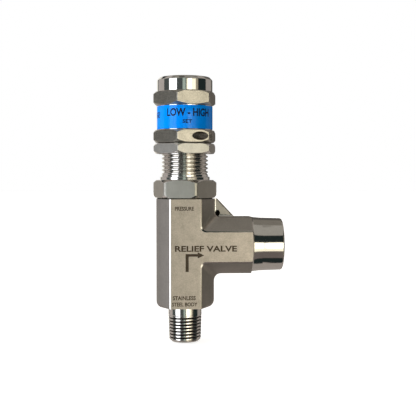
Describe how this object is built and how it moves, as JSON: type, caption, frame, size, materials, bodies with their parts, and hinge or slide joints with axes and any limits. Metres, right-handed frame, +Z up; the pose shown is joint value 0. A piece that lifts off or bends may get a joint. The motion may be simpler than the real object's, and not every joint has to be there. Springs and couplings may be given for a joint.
{
  "type": "pressure relief valve",
  "caption": "Adjustable angle relief valve in stainless steel: forged T body, taper-thread inlet below, side outlet port, sprung stem, screw cap with label band and lock nut.",
  "frame": {"origin": "centre of the inlet thread's end face, which screws down into what holds the valve", "axes": "+Z up along the inlet, stem and cap; +X along the outlet, out of its port; +Y away from the flat that carries the flow arrow"},
  "size_m": [0.0532, 0.026, 0.1087],
  "materials": {
    "forged_steel": "satin, fine blasted grain",
    "turned_steel": "bright turned",
    "spring_steel": "drawn wire",
    "soft_seal": "matt fluorocarbon rubber",
    "ptfe": "waxy white",
    "blue_band": "glossy printed blue"
  },
  "bodies": {
    "valve_body": {"body": "forged_steel", "seat_insert": "turned_steel", "seat_insert_o_ring": "soft_seal", "seat_insert_backup_ring": "ptfe", "gland_retainer": "turned_steel", "stem_backup_ring_lower": "ptfe", "stem_quad_ring": "soft_seal", "stem_backup_ring_upper": "ptfe", "bonnet": "turned_steel", "bonnet_o_ring": "soft_seal", "bonnet_backup_ring": "ptfe"},
    "stem_assembly": {"stem": "turned_steel", "seat_disc": "soft_seal", "disc_retainer": "turned_steel", "lower_spring_support": "turned_steel", "spring": "spring_steel"},
    "spring_seat": {"upper_spring_support": "turned_steel"},
    "cap_assembly": {"cap": "turned_steel", "cap_label": "blue_band"},
    "lock_nut_body": {"lock_nut": "turned_steel"}
  },
  "joints": [
    {"name": "stem_lift", "type": "slide", "parent": "valve_body", "child": "stem_assembly", "axis": [0, 0, 1], "range_m": [0, 0.0025], "stiffness_N_per_m": 13600, "deforming": ["spring"]},
    {"name": "cap_advance", "type": "slide", "parent": "valve_body", "child": "spring_seat", "axis": [0, 0, 1], "range_m": [-0.0036, 0.0048], "deforming": ["spring"]},
    {"name": "cap_turn", "type": "hinge", "parent": "spring_seat", "child": "cap_assembly", "pos_m": [0, 0, 0.0819], "axis": [0, 0, 1], "range_deg": [-820, 1090]},
    {"name": "lock_nut_back_off", "type": "slide", "parent": "spring_seat", "child": "lock_nut_body", "axis": [0, 0, 1], "range_m": [-0.0055, 0]}
  ],
  "couplings": [
    {"joint": "cap_turn", "follows": "cap_advance", "rad_per_m": 3957.9}
  ]
}
